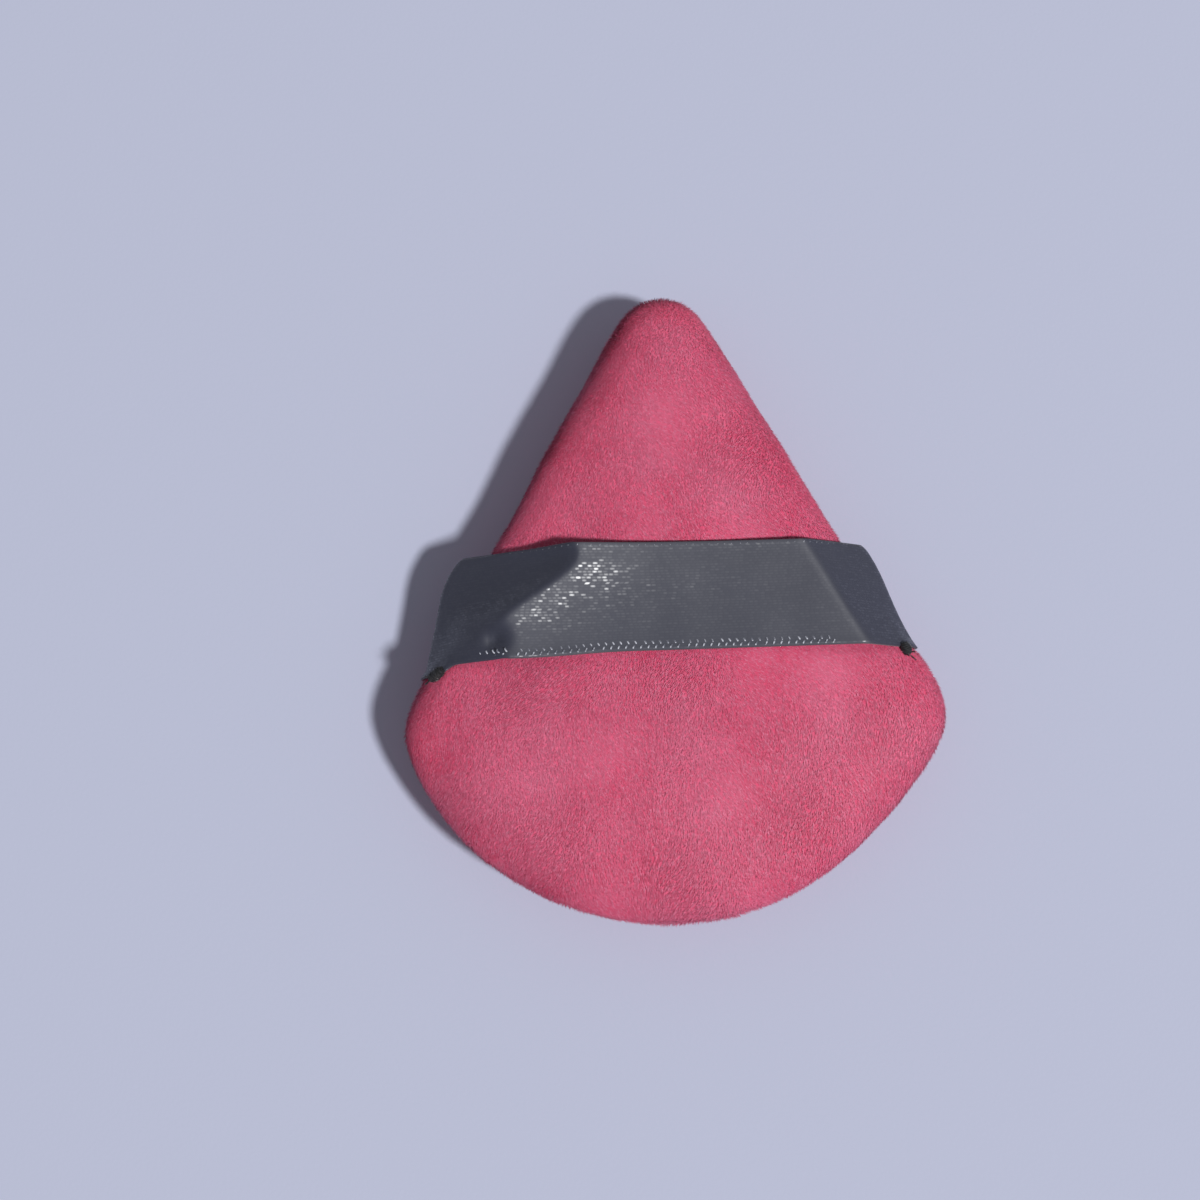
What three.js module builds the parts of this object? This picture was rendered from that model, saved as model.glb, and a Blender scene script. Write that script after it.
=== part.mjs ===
// Powder puff: a drop-shaped velour pad with a satin finger strap across its back.
// Millimetres, +Z up, +Y towards the pointed tip. The pad lies on its face, strap up,
// and the origin is on the resting plane under the middle of the pad.
import * as THREE from 'three';

// Outline of the pad, seen from above.
const padLength = 80;
const padWidth = 69;
const tipRadius = 5.5;
const cornerRadius = 11;
const widestHeight = 26.6; // from the base edge up to the line where the pad is widest
const crownHeight = 32; // from the base edge up to the highest point of the back

// Section of the pad.
const seamLevel = 8.2; // from the resting plane up to the seam
const backRise = 8.4; // from the seam up to the top of the back
const backFullness = 4.2; // power of the back's curve: 2 is an ellipse, more is fuller and flatter
const faceBorder = 13; // width of the rounded border around the flat of the face
const clothThickness = 1.2;
const rimRounding = 0.6; // bevel of each panel's edge beside the seam
const hemWidth = 4.5; // cloth turned inwards at the seam
const coreThickness = 6;

// Finger strap: one ribbon, folded at both side seams and sewn in between the hems.
const strapWidth = 13;
const strapThickness = 0.4;
const strapHeight = 40.3; // from the base edge up to the strap's centre line
const strapFlare = 3.4; // how far its square upper corners stand out past the slanting seam
const strapTuck = 2.6; // how far each end reaches into the seam

// Sewing threads.
const threadDiameter = 0.5;
const seamDepth = 3.3; // from the outline in to the line of stitches
const turningGap = 30; // stretch of the base seam that is closed by hand
const closingDepth = 1.0; // from the outline in to the hand stitches
const tackDiameter = 1.6;
const tackLength = 3;

const clearance = 0.3; // between neighbouring pieces

// Fineness of the curved surfaces.
const baseSteps = 10;
const cornerSteps = 7;
const sideSteps = 9;
const tipSteps = 8;
const archSteps = 8;
const strapSteps = 24;
const strapBands = 3;
const threadStep = 2.6;

// Places that follow from the sizes above.
const baseY = -padLength / 2;
const crown = new THREE.Vector2(0, baseY + crownHeight);
const hemGap = strapThickness + 2 * clearance;
const rimOffset = hemGap / 2 + rimRounding;
const coreInset = hemWidth + clearance;
const strapY = baseY + strapHeight;
const strapLowY = strapY - strapWidth / 2;

// The outline runs counterclockwise from the middle of the base: base arc, right corner,
// straight side, tip, straight side, left corner, base arc. All arcs meet tangentially.
function padOutline() {
  const cornerX = padWidth / 2 - cornerRadius;
  const cornerY = baseY + widestHeight;
  const tipY = padLength / 2 - tipRadius;
  const sagitta = widestHeight - cornerRadius;
  const baseRadius = (cornerX ** 2 + widestHeight ** 2 - cornerRadius ** 2) / (2 * sagitta);
  const baseCentreY = baseY + baseRadius;
  const baseEnd = Math.atan2(cornerY - baseCentreY, cornerX);
  const tipToCorner = new THREE.Vector2(cornerX, cornerY - tipY);
  const sideTurn = Math.acos((tipRadius - cornerRadius) / tipToCorner.length());
  const sideNormal = Math.atan2(tipToCorner.y, tipToCorner.x) + sideTurn;
  const outline = new THREE.Shape();
  outline.absarc(0, baseCentreY, baseRadius, -Math.PI / 2, baseEnd);
  outline.absarc(cornerX, cornerY, cornerRadius, baseEnd, sideNormal);
  outline.absarc(0, tipY, tipRadius, sideNormal, Math.PI - sideNormal);
  outline.absarc(-cornerX, cornerY, cornerRadius, Math.PI - sideNormal, Math.PI - baseEnd);
  outline.absarc(0, baseCentreY, baseRadius, Math.PI - baseEnd, 1.5 * Math.PI);
  return outline;
}

const outline = padOutline();
const outlineLength = outline.getLength();
const halfSteps = [baseSteps, cornerSteps, sideSteps];
const curveSteps = [...halfSteps, tipSteps, ...halfSteps.toReversed()];
const outlinePoints = outline.curves.flatMap((curve, i) => curve.getPoints(curveSteps[i]).slice(1));
const outlineSteps = outlinePoints.length;

// A point of the outline moved towards the crown, by a depth and then to a share of the rest.
function inward(point, depth, share = 1) {
  const arm = point.clone().sub(crown);
  return arm.setLength((arm.length() - depth) * share).add(crown);
}

// Distance from a point inside the outline to the outline, along a unit direction.
function reach(from, direction) {
  let distance = 0;
  outlinePoints.forEach((start, i) => {
    const edge = outlinePoints[(i + 1) % outlineSteps].clone().sub(start);
    const offset = start.clone().sub(from);
    const turn = direction.cross(edge);
    const along = offset.cross(edge) / turn;
    const share = offset.cross(direction) / turn;
    if (along > 0 && share >= 0 && share <= 1) {
      distance = Math.max(distance, along);
    }
  });
  return distance;
}

function halfWidth(y) {
  return reach(new THREE.Vector2(0, y), new THREE.Vector2(1, 0));
}

// A solid with the same profile, a closed loop of { share, depth, z }, under every point
// of the outline. A share of 0 is on the upright line through the crown.
function wrapped(profile) {
  const lathe = profile.map((spot) => new THREE.Vector2(spot.share, spot.z));
  const geometry = new THREE.LatheGeometry(lathe, outlineSteps);
  const position = geometry.attributes.position;
  for (let i = 0; i < position.count; i += 1) {
    const { share, depth, z } = profile[i % profile.length];
    const rim = outlinePoints[Math.floor(i / profile.length) % outlineSteps];
    const place = inward(rim, depth, share);
    position.setXYZ(i, place.x, place.y, z);
  }
  geometry.computeVertexNormals();
  return geometry;
}

// The two halves of the pad. Each gives the point of its arch at an angle, from the rim
// at 0 to the top at a right angle, on a surface lying an inset below the outer one.
const back = {
  side: 1,
  drop: backRise - rimOffset,
  arch(inset, angle) {
    const share = Math.max(Math.cos(angle), 0) ** (2 / backFullness);
    const z = seamLevel + rimOffset + (this.drop - inset) * Math.sin(angle);
    return { share, depth: inset, z };
  },
};
const face = {
  side: -1,
  drop: seamLevel - rimOffset,
  arch(inset, angle) {
    const depth = inset + (faceBorder - inset) * (1 - Math.cos(angle));
    const z = seamLevel - rimOffset - (this.drop - inset) * Math.sin(angle);
    return { share: 1, depth, z };
  },
};

// Points of an arch from the crown's upright line out to the given angle.
function archPoints(half, inset, lastAngle) {
  const points = [];
  for (let i = 0; i <= archSteps; i += 1) {
    points.push(half.arch(inset, Math.PI / 2 + (lastAngle - Math.PI / 2) * (i / archSteps)));
  }
  const [top] = points;
  return top.share < 1e-6 ? points : [{ ...top, share: 0 }, ...points];
}

// Loops run counterclockwise in the section, so the lower half is read backwards.
function facingOut(half, loop) {
  return wrapped(half.side > 0 ? loop : loop.toReversed());
}

// A velour panel: a cup of cloth with its hem turned in at the seam.
function velourPanel(half) {
  const hemLevel = seamLevel + (half.side * hemGap) / 2;
  const hemAngle = Math.asin(clothThickness / 2 / half.drop);
  const hem = [
    { share: 1, depth: hemWidth, z: hemLevel },
    { share: 1, depth: rimRounding, z: hemLevel },
  ];
  const inner = archPoints(half, clothThickness, hemAngle);
  const outer = archPoints(half, 0, 0);
  return facingOut(half, [...inner, ...hem, ...outer.toReversed()]);
}

// A layer of fibre wadding between the foam core and a velour panel.
function wadding(half) {
  const inset = clothThickness + clearance;
  const lift = coreThickness / 2 + clearance;
  const floor = { share: 0, depth: inset, z: seamLevel + half.side * lift };
  const edgeAngle = Math.asin((lift - rimOffset) / (half.drop - inset));
  const arch = archPoints(half, inset, edgeAngle);
  return facingOut(half, [floor, ...arch.toReversed()]);
}

// The die-cut foam pad that gives the puff its body.
function foamCore() {
  const low = seamLevel - coreThickness / 2;
  const high = seamLevel + coreThickness / 2;
  return wrapped([
    { share: 0, depth: coreInset, z: low },
    { share: 1, depth: coreInset, z: low },
    { share: 1, depth: coreInset, z: high },
    { share: 0, depth: coreInset, z: high },
  ]);
}

// A sewing thread in the seam, between two distances along the outline.
function threadAlong(from, to, depth) {
  const steps = Math.ceil((to - from) / threadStep);
  const points = [];
  for (let i = 0; i <= steps; i += 1) {
    const along = (from + ((to - from) * i) / steps) / outlineLength;
    const place = inward(outline.getPointAt((along + 1) % 1), depth);
    points.push(new THREE.Vector3(place.x, place.y, seamLevel));
  }
  const section = new THREE.Shape().absarc(0, 0, threadDiameter / 2, 0, 2 * Math.PI);
  const extrudePath = new THREE.CatmullRomCurve3(points);
  return new THREE.ExtrudeGeometry(section, { steps, extrudePath, curveSegments: 3 });
}

// Height of the back at a place in plan, and the direction that it faces there.
function backLevel(x, y) {
  const arm = new THREE.Vector2(x, y).sub(crown);
  const share = arm.length() / reach(crown, arm.clone().normalize());
  const bulge = Math.sqrt(Math.max(1 - share ** backFullness, 0));
  return seamLevel + rimOffset + back.drop * bulge;
}

function backNormal(x, y) {
  const step = 0.01;
  const slopeX = (backLevel(x + step, y) - backLevel(x - step, y)) / (2 * step);
  const slopeY = (backLevel(x, y + step) - backLevel(x, y - step)) / (2 * step);
  return new THREE.Vector3(-slopeX, -slopeY, 1).normalize();
}

// How far the folded end of the strap stands out past the seam: nothing at the lower edge
// of the ribbon, most at the upper one.
function flare(y) {
  return (strapFlare * (y - strapLowY)) / strapWidth;
}

// Where the ribbon, pulled straight from its fold, first touches the back: the place that
// is seen highest from the fold.
function touchingX(y, foldX, foldLevel) {
  const edge = halfWidth(y);
  let touching = 0;
  let steepest = 0;
  for (let i = 1; i < strapSteps; i += 1) {
    const x = edge * Math.sin((Math.PI / 2) * (i / strapSteps));
    const rise = (backLevel(x, y) - foldLevel) / (foldX - x);
    if (rise > steepest) {
      steepest = rise;
      touching = x;
    }
  }
  return touching;
}

// The free span of the strap follows the back from side to side, and runs straight from
// there to its folds, above the sewn ends.
function freeSpan() {
  const geometry = new THREE.BoxGeometry(2, strapWidth, 1, strapSteps, strapBands, 1);
  const position = geometry.attributes.position;
  const foldLevel = seamLevel + strapThickness / 2 + clearance;
  const lastOnBack = 1 - 2 / strapSteps;
  for (let i = 0; i < position.count; i += 1) {
    const along = position.getX(i);
    const y = strapY + position.getY(i);
    const offset = clearance + (position.getZ(i) + 0.5) * strapThickness;
    const foldX = halfWidth(y) + flare(y);
    const place = new THREE.Vector3(Math.sign(along) * foldX, y, foldLevel);
    let normal = new THREE.Vector3(Math.sign(along), 0, 0);
    if (Math.abs(along) < 1) {
      place.x = Math.sin((along / lastOnBack) * (Math.PI / 2)) * touchingX(y, foldX, foldLevel);
      place.z = backLevel(place.x, y);
      normal = backNormal(place.x, y);
    }
    position.setXYZ(i, ...place.addScaledVector(normal, offset));
  }
  geometry.computeVertexNormals();
  return geometry;
}

// A sewn end of the strap runs flat from its fold to between the two hems, along the
// slanting side seam.
function sewnEnd(side) {
  const outside = clearance + strapThickness;
  const corners = [];
  for (const y of [strapLowY, strapLowY + strapWidth]) {
    corners.push([side * (halfWidth(y) - strapTuck), y], [side * (halfWidth(y) + flare(y) + outside), y]);
  }
  const [lowIn, lowOut, highIn, highOut] = corners.map(([x, y]) => new THREE.Vector2(x, y));
  const tab = new THREE.Shape([lowIn, lowOut, highOut, highIn]);
  const geometry = new THREE.ExtrudeGeometry(tab, { depth: strapThickness, bevelEnabled: false });
  return geometry.translate(0, 0, seamLevel - strapThickness / 2);
}

// A thread tack seated in the bevelled groove of the seam, below a lower corner of the strap.
function strapTack(side) {
  const barLength = tackLength - tackDiameter;
  const seat = (tackDiameter / 2 + clearance) * Math.SQRT2 - rimOffset;
  const y = strapLowY - clearance - tackLength / 2;
  const lowX = halfWidth(y - barLength / 2);
  const highX = halfWidth(y + barLength / 2);
  const lean = Math.atan2(lowX - highX, barLength);
  const geometry = new THREE.CapsuleGeometry(tackDiameter / 2, barLength, 4, 10);
  geometry.rotateZ(side * lean);
  return geometry.translate(side * ((lowX + highX) / 2 + seat), y, seamLevel);
}

const velour = { color: 0xc4587a, roughness: 0.95 };
const foam = { color: 0xf1ecd8, roughness: 0.9 };
const fibre = { color: 0xf4f2ee, roughness: 1 };
const pinkThread = { color: 0xb84a6c, roughness: 0.7 };
const satin = { color: 0x4c4e5a, roughness: 0.38 };
const darkThread = { color: 0x23232a, roughness: 0.8 };

const puff = new THREE.Group();

function addPiece(name, geometry, look) {
  const piece = new THREE.Mesh(geometry, new THREE.MeshStandardMaterial({ ...look, metalness: 0 }));
  piece.name = name;
  puff.add(piece);
}

addPiece('face_velour_panel', velourPanel(face), velour);
addPiece('back_velour_panel', velourPanel(back), velour);
addPiece('foam_core', foamCore(), foam);
addPiece('face_wadding', wadding(face), fibre);
addPiece('back_wadding', wadding(back), fibre);
const seamEnd = outlineLength - turningGap / 2;
addPiece('seam_thread', threadAlong(turningGap / 2, seamEnd, seamDepth), pinkThread);
addPiece('closing_stitch', threadAlong(-turningGap / 2, turningGap / 2, closingDepth), pinkThread);
addPiece('finger_strap', freeSpan(), satin);
addPiece('left_strap_end', sewnEnd(-1), satin);
addPiece('right_strap_end', sewnEnd(1), satin);
addPiece('left_strap_tack', strapTack(-1), darkThread);
addPiece('right_strap_tack', strapTack(1), darkThread);

export default puff;
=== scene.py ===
import math
import random

import bmesh
import bpy
import numpy as np
from mathutils import Matrix, Vector, noise
from mathutils.bvhtree import BVHTree


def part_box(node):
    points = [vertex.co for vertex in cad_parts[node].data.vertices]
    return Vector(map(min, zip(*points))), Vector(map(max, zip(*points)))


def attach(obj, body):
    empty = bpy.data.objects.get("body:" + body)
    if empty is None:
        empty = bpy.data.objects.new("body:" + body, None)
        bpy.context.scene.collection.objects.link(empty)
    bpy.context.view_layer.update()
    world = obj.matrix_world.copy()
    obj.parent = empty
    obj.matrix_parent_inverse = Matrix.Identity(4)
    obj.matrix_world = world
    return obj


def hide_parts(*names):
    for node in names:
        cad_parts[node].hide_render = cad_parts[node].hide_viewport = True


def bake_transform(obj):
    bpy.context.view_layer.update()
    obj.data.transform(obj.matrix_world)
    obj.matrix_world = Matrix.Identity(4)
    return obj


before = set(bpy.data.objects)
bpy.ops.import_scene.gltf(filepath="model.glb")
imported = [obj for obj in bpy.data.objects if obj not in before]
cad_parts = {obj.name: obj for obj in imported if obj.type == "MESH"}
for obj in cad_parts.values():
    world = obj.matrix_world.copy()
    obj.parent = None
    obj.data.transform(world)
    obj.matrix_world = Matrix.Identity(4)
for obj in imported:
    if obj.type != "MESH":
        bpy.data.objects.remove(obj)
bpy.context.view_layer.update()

mm = 0.001
scene = bpy.context.scene
seamLevel = sum(corner.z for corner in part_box("seam_thread")) / 2
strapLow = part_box("finger_strap")[0].y
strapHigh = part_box("finger_strap")[1].y
strapMiddle = (strapLow + strapHigh) / 2


# Small helpers

def smoothStep(low, high, x):
    t = min(max((x - low) / (high - low), 0), 1)
    return t * t * (3 - 2 * t)


def giveMaterial(mesh, material):
    mesh.materials.clear()
    mesh.materials.append(material)


def linkPiece(name, mesh, material):
    piece = bpy.data.objects.new(name, mesh)
    scene.collection.objects.link(piece)
    giveMaterial(mesh, material)
    mesh.shade_smooth()
    return piece


def openMesh(*meshes):
    bm = bmesh.new()
    for mesh in meshes:
        bm.from_mesh(mesh)
    return bm


def meshFrom(name, bm):
    mesh = bpy.data.meshes.new(name)
    bm.to_mesh(mesh)
    bm.free()
    return mesh


def applyModifiers(piece):  # the finished mesh takes the place of the stack
    depsgraph = bpy.context.evaluated_depsgraph_get()
    finished = bpy.data.meshes.new_from_object(piece.evaluated_get(depsgraph))
    started = piece.data
    piece.modifiers.clear()
    piece.data = finished
    bpy.data.meshes.remove(started)


def thicken(piece, thickness, offset):  # offset -1 is inwards, 0 is to both sides
    wall = piece.modifiers.new("Solidify", "SOLIDIFY")
    wall.thickness = thickness
    wall.offset = offset
    applyModifiers(piece)


def readPoints(mesh, field="co"):
    values = np.empty(len(mesh.vertices) * 3, np.float32)
    mesh.vertices.foreach_get(field, values)
    return values.reshape(-1, 3)


def writePoints(mesh, points):
    mesh.vertices.foreach_set("co", np.ascontiguousarray(points, np.float32).ravel())
    mesh.update()


def movePoints(mesh, moved):  # moved gives a point's new place from its place and its normal
    pairs = zip(readPoints(mesh).tolist(), readPoints(mesh, "normal").tolist())
    writePoints(mesh, [moved(Vector(place), Vector(normal))[:] for place, normal in pairs])


# Materials

def hexColour(code):
    channels = [int(code[i:i + 2], 16) / 255 for i in (1, 3, 5)]
    linear = [c / 12.92 if c <= 0.04045 else ((c + 0.055) / 1.055) ** 2.4 for c in channels]
    return (*linear, 1)


def plug(tree, node, sources):  # a source is an output, or a node for its first output
    for socket, source in sources.items():
        output = source.outputs[0] if isinstance(source, bpy.types.Node) else source
        tree.links.new(output, node.inputs[socket])


def addNode(tree, kind, settings={}, values={}, links={}):
    # shader nodes go by their short names, and a setting alone is the operation
    node = tree.nodes.new(kind if "Node" in kind else "ShaderNode" + kind)
    if isinstance(settings, str):
        settings = {"operation": settings}
    for name, value in settings.items():
        setattr(node, name, value)
    for socket, value in values.items():
        node.inputs[socket].default_value = value
    plug(tree, node, links)
    return node


def newMaterial(name, constants):
    material = bpy.data.materials.new(name)
    material.use_nodes = True
    shader = material.node_tree.nodes["Principled BSDF"]
    for socket, value in constants.items():
        shader.inputs[socket].default_value = value
    return material, material.node_tree, shader


def shadeBy(tree, shader, pattern, colours, strength, depth, pitted=False):
    # the low and high places of a pattern get their own colours, and stand in relief; a darker colour in the
    # hollows and a lighter one on the crests are painted shade and painted highlight
    colour = addNode(tree, "Mix", {"data_type": "RGBA"}, {
        6: hexColour(colours[0]), 7: hexColour(colours[1])}, {0: pattern})
    bump = addNode(tree, "Bump", {"invert": pitted}, {"Strength": strength, "Distance": depth},
                   {"Height": pattern})
    plug(tree, shader, {"Base Color": colour.outputs[2], "Normal": bump})


velourLook = {
    "deep": "#E04C70",  # painted shade: the colour between the fibres and where the nap is brushed away, laid in random patches and streaks
    "body": "#EE6E8F",
    "tip": "#F0809E",  # painted highlight: fibre ends in the light, given to random whole fibres
    "sheen": "#F2809E",
    "paleFew": 3,  # the higher, the fewer fibres have pale ends, the painted highlight
    "glow": 0.3,  # share of the light that goes through a fibre
    "glowDepth": 0.06 * mm,
    "mottle": 11 * mm,  # patches where the nap lies another way, drawn in painted shade
    "streakWide": 0.4 * mm,
    "streakLong": 2.4 * mm,
    "streakShare": 0.45,  # strength of a streak, against a patch
    "patchRange": (0.48, 0.98),
    "grain": 0.22 * mm,  # ends of the tufts, drawn coarser than the real 0.1 mm so that they show
}


def napShadedPink(tree):
    # patchy nap, and short streaks along the brushing, painted as shade in the deep colour
    place = addNode(tree, "TexCoord").outputs["Object"]
    patches = addNode(tree, "TexNoise", values={
        "Scale": 1 / velourLook["mottle"], "Detail": 3, "Roughness": 0.55}, links={"Vector": place})
    squeezed = addNode(tree, "Mapping", values={"Scale": (
        1 / velourLook["streakWide"], 1 / velourLook["streakLong"], 1 / velourLook["streakWide"])},
        links={"Vector": place})
    streaks = addNode(tree, "TexNoise", values={"Scale": 1, "Detail": 2}, links={"Vector": squeezed})
    both = addNode(tree, "Math", "MULTIPLY_ADD", {1: velourLook["streakShare"]}, {0: streaks, 2: patches})
    share = addNode(tree, "MapRange", values={
        "From Min": velourLook["patchRange"][0], "From Max": velourLook["patchRange"][1]},
        links={"Value": both})
    pink = addNode(tree, "Mix", {"data_type": "RGBA"}, {
        6: hexColour(velourLook["deep"]), 7: hexColour(velourLook["body"])}, {0: share})
    return place, pink.outputs[2]


def makeVelourGround():
    # polyester velour, the knitted ground under the cut pile: matt, deep and softly mottled with painted nap
    # shade
    material, tree, shader = newMaterial("polyester_velour_ground", {
        "Roughness": 0.9, "Sheen Weight": 0.2, "Sheen Roughness": 0.45, "Specular IOR Level": 0.2,
        "Sheen Tint": hexColour(velourLook["sheen"])})
    place, pink = napShadedPink(tree)
    tufts = addNode(tree, "TexNoise", values={
        "Scale": 1 / velourLook["grain"], "Detail": 1}, links={"Vector": place})
    bump = addNode(tree, "Bump", values={"Strength": 0.6, "Distance": 0.15 * mm}, links={"Height": tufts})
    plug(tree, shader, {"Base Color": pink, "Normal": bump})
    return material


def makePileFibre():
    # cut polyester pile: every fibre a little lighter or deeper than its neighbour, through painted nap
    # shade and a painted highlight on random fibres; soft gloss
    material, tree, shader = newMaterial("polyester_pile_fibre", {
        "Roughness": 0.6, "Sheen Weight": 0.25, "Sheen Roughness": 0.45, "Specular IOR Level": 0.25,
        "Sheen Tint": hexColour(velourLook["sheen"]), "Subsurface Weight": velourLook["glow"],
        "Subsurface Scale": velourLook["glowDepth"], "Subsurface Radius": (1, 0.45, 0.55)})
    pink = napShadedPink(tree)[1]
    tone = addNode(tree, "Attribute", {"attribute_name": "tone"})
    # random fibres take the tip colour: painted highlight
    paintedHighlight = addNode(tree, "Math", "POWER", {1: velourLook["paleFew"]}, {0: tone.outputs["Fac"]})
    colour = addNode(tree, "Mix", {"data_type": "RGBA"}, {7: hexColour(velourLook["tip"])},
                     {0: paintedHighlight, 6: pink})
    plug(tree, shader, {"Base Color": colour.outputs[2]})
    return material


satinLook = {
    "body": "#2E303F",
    "worn": "#363847",
    "wearWidth": 9 * mm,
    "float": "#484A59",  # painted highlight on the middle of a warp float, where it catches the light
    "floatHighlightShow": 0.06,  # how much of that painted highlight shows
    "rowPitch": 0.34 * mm,  # real rows are near 0.12 mm, drawn coarser so that they show
    "floatLength": 0.62 * mm,
    "floatStep": 0.37,  # of a float, from one row to the next
    "floatDrift": 1.5,  # how far, in floats, the rows wander against each other
    "driftWidth": 5 * mm,
    "driftSpread": 4.7,  # how unlike its neighbour each row wanders
    "floatTilt": 0.065,  # slope of single floats, each its own way, so that each glints by itself
    "twist": 0.05,  # slope by which the yarn's twist turns them all, across the ribbon
    "dull": 0.7,  # roughness between the floats
    "bright": 0.64,  # and in the middle of the smoothest ones
    "glint": 0.24,  # roughness of the floats' own skin
    "glintShare": 0.95,  # of the floats are smooth enough for it
    "narrowness": 1.5,  # of a glint on its float
}


def floatWeave(tree, along):
    # rows of warp floats: how high each point stands on its float, and random numbers for each float
    length = addNode(tree, "SeparateXYZ", links={0: along}).outputs["X"]
    cells = addNode(tree, "VectorMath", "DIVIDE", {
        1: (satinLook["floatLength"], satinLook["rowPitch"], 1)}, {0: along})
    rows = addNode(tree, "VectorMath", "FLOOR", links={0: cells})
    row = addNode(tree, "SeparateXYZ", links={0: rows}).outputs["Y"]
    reach = addNode(tree, "CombineXYZ", links={"X": length, "Y": row})
    slow = addNode(tree, "VectorMath", "MULTIPLY", {
        1: (1 / satinLook["driftWidth"], satinLook["driftSpread"], 0)}, {0: reach})
    drift = addNode(tree, "TexNoise", values={"Scale": 1, "Detail": 0}, links={"Vector": slow})
    step = addNode(tree, "Math", "MULTIPLY", {1: satinLook["floatStep"]}, {0: row})
    shift = addNode(tree, "Math", "MULTIPLY_ADD", {1: satinLook["floatDrift"]}, {0: drift, 2: step})
    aside = addNode(tree, "CombineXYZ", links={"X": shift})
    floats = addNode(tree, "VectorMath", "ADD", links={0: cells, 1: aside})
    which = addNode(tree, "VectorMath", "FLOOR", links={0: floats})
    chance = addNode(tree, "TexWhiteNoise", {"noise_dimensions": "2D"}, links={"Vector": which})
    within = addNode(tree, "VectorMath", "FRACTION", links={0: floats})
    turn = addNode(tree, "VectorMath", "SCALE", {"Scale": math.pi}, {0: within})
    arch = addNode(tree, "VectorMath", "SINE", links={0: turn})
    sides = addNode(tree, "SeparateXYZ", links={0: arch})
    blunt = addNode(tree, "Math", "SQRT", links={0: sides.outputs["X"]})
    crown = addNode(tree, "Math", "MULTIPLY", links={0: sides.outputs["Y"], 1: blunt})
    return crown, chance


def makeSatin():
    # polyester satin ribbon, woven: warp floats run along it, staggered row by row, so it has a broad
    # smooth gloss across the ribbon, and glints on single floats where it mirrors the light
    material, tree, shader = newMaterial("polyester_satin_ribbon", {
        "Anisotropic": 0.7, "Anisotropic Rotation": 0.25, "Sheen Weight": 0.05, "Sheen Roughness": 0.3,
        "Specular IOR Level": 0.8, "IOR": 1.6, "Coat Roughness": satinLook["glint"], "Coat IOR": 1.42})
    along = addNode(tree, "UVMap", {"uv_map": "weave"}).outputs["UV"]
    crown, chance = floatWeave(tree, along)
    pick = chance.outputs["Value"]
    wear = addNode(tree, "TexNoise", values={"Scale": 1 / satinLook["wearWidth"], "Detail": 3},
                   links={"Vector": along})
    ground = addNode(tree, "Mix", {"data_type": "RGBA"}, {
        6: hexColour(satinLook["body"]), 7: hexColour(satinLook["worn"])}, {0: wear})
    even = addNode(tree, "Math", "SQRT", links={0: pick})
    lit = addNode(tree, "Math", "MULTIPLY", links={0: crown, 1: even})
    # painted highlight: the crowns of the floats are drawn in the lighter float colour
    shown = addNode(tree, "Math", "MULTIPLY", {1: satinLook["floatHighlightShow"]}, {0: lit})
    colour = addNode(tree, "Mix", {"data_type": "RGBA"}, {7: hexColour(satinLook["float"])},
                     {0: shown, 6: ground.outputs[2]})
    gloss = addNode(tree, "MapRange", values={
        "To Min": satinLook["dull"], "To Max": satinLook["bright"]}, links={"Value": lit})
    smooth = addNode(tree, "MapRange", values={"From Min": 1 - satinLook["glintShare"]},
                     links={"Value": pick})
    narrow = addNode(tree, "Math", "POWER", {1: satinLook["narrowness"]}, {0: crown})
    skin = addNode(tree, "Math", "MULTIPLY", links={0: narrow, 1: smooth})
    lean = satinLook["floatTilt"]
    tilt = addNode(tree, "VectorMath", "MULTIPLY_ADD",
                   {1: (2 * lean, 2 * lean, 2 * lean), 2: (-lean, -lean - satinLook["twist"], 0)},
                   {0: chance.outputs["Color"]})
    flat = addNode(tree, "NewGeometry")
    tilted = addNode(tree, "VectorMath", "ADD", links={0: flat.outputs["Normal"], 1: tilt})
    facing = addNode(tree, "VectorMath", "NORMALIZE", links={0: tilted})
    bump = addNode(tree, "Bump", values={"Strength": 0.06, "Distance": 0.05 * mm},
                   links={"Height": crown})
    grain = addNode(tree, "Tangent", {"direction_type": "UV_MAP", "uv_map": "weave"})
    plug(tree, shader, {"Base Color": colour.outputs[2], "Roughness": gloss, "Coat Weight": skin,
                        "Normal": bump, "Coat Normal": facing, "Tangent": grain})
    return material


def makeThread(name, colours, plyPitch, roughness):
    # spun polyester sewing thread: two plies twisted, so fine slanting bands of painted light and shade, in
    # relief
    material, tree, shader = newMaterial(name, {
        "Roughness": roughness, "Sheen Weight": 0.2, "Sheen Roughness": 0.4, "IOR": 1.54})
    place = addNode(tree, "TexCoord").outputs["Object"]
    slanted = addNode(tree, "Mapping", values={"Rotation": (0.6, 0.5, 0.7)}, links={"Vector": place})
    waveBand = 0.3  # how far apart the bands are at scale 1
    plies = addNode(tree, "TexWave", {"wave_type": "BANDS", "bands_direction": "DIAGONAL"}, {
        "Scale": waveBand / plyPitch, "Distortion": 1.5, "Detail": 2}, {"Vector": slanted})
    shadeBy(tree, shader, plies.outputs["Fac"], colours, strength=0.6, depth=0.05 * mm)
    return material


def makeFoam():
    # open-cell polyurethane foam, die cut: cream, matt, pitted by its cells
    material, tree, shader = newMaterial("polyurethane_foam", {"Roughness": 0.9, "Specular IOR Level": 0.25})
    place = addNode(tree, "TexCoord").outputs["Object"]
    cells = addNode(tree, "TexVoronoi", values={"Scale": 1 / (0.6 * mm)}, links={"Vector": place})
    shadeBy(tree, shader, cells, ("#C9BFA6", "#EFE7D4"), strength=0.8, depth=0.3 * mm, pitted=True)
    return material


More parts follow.
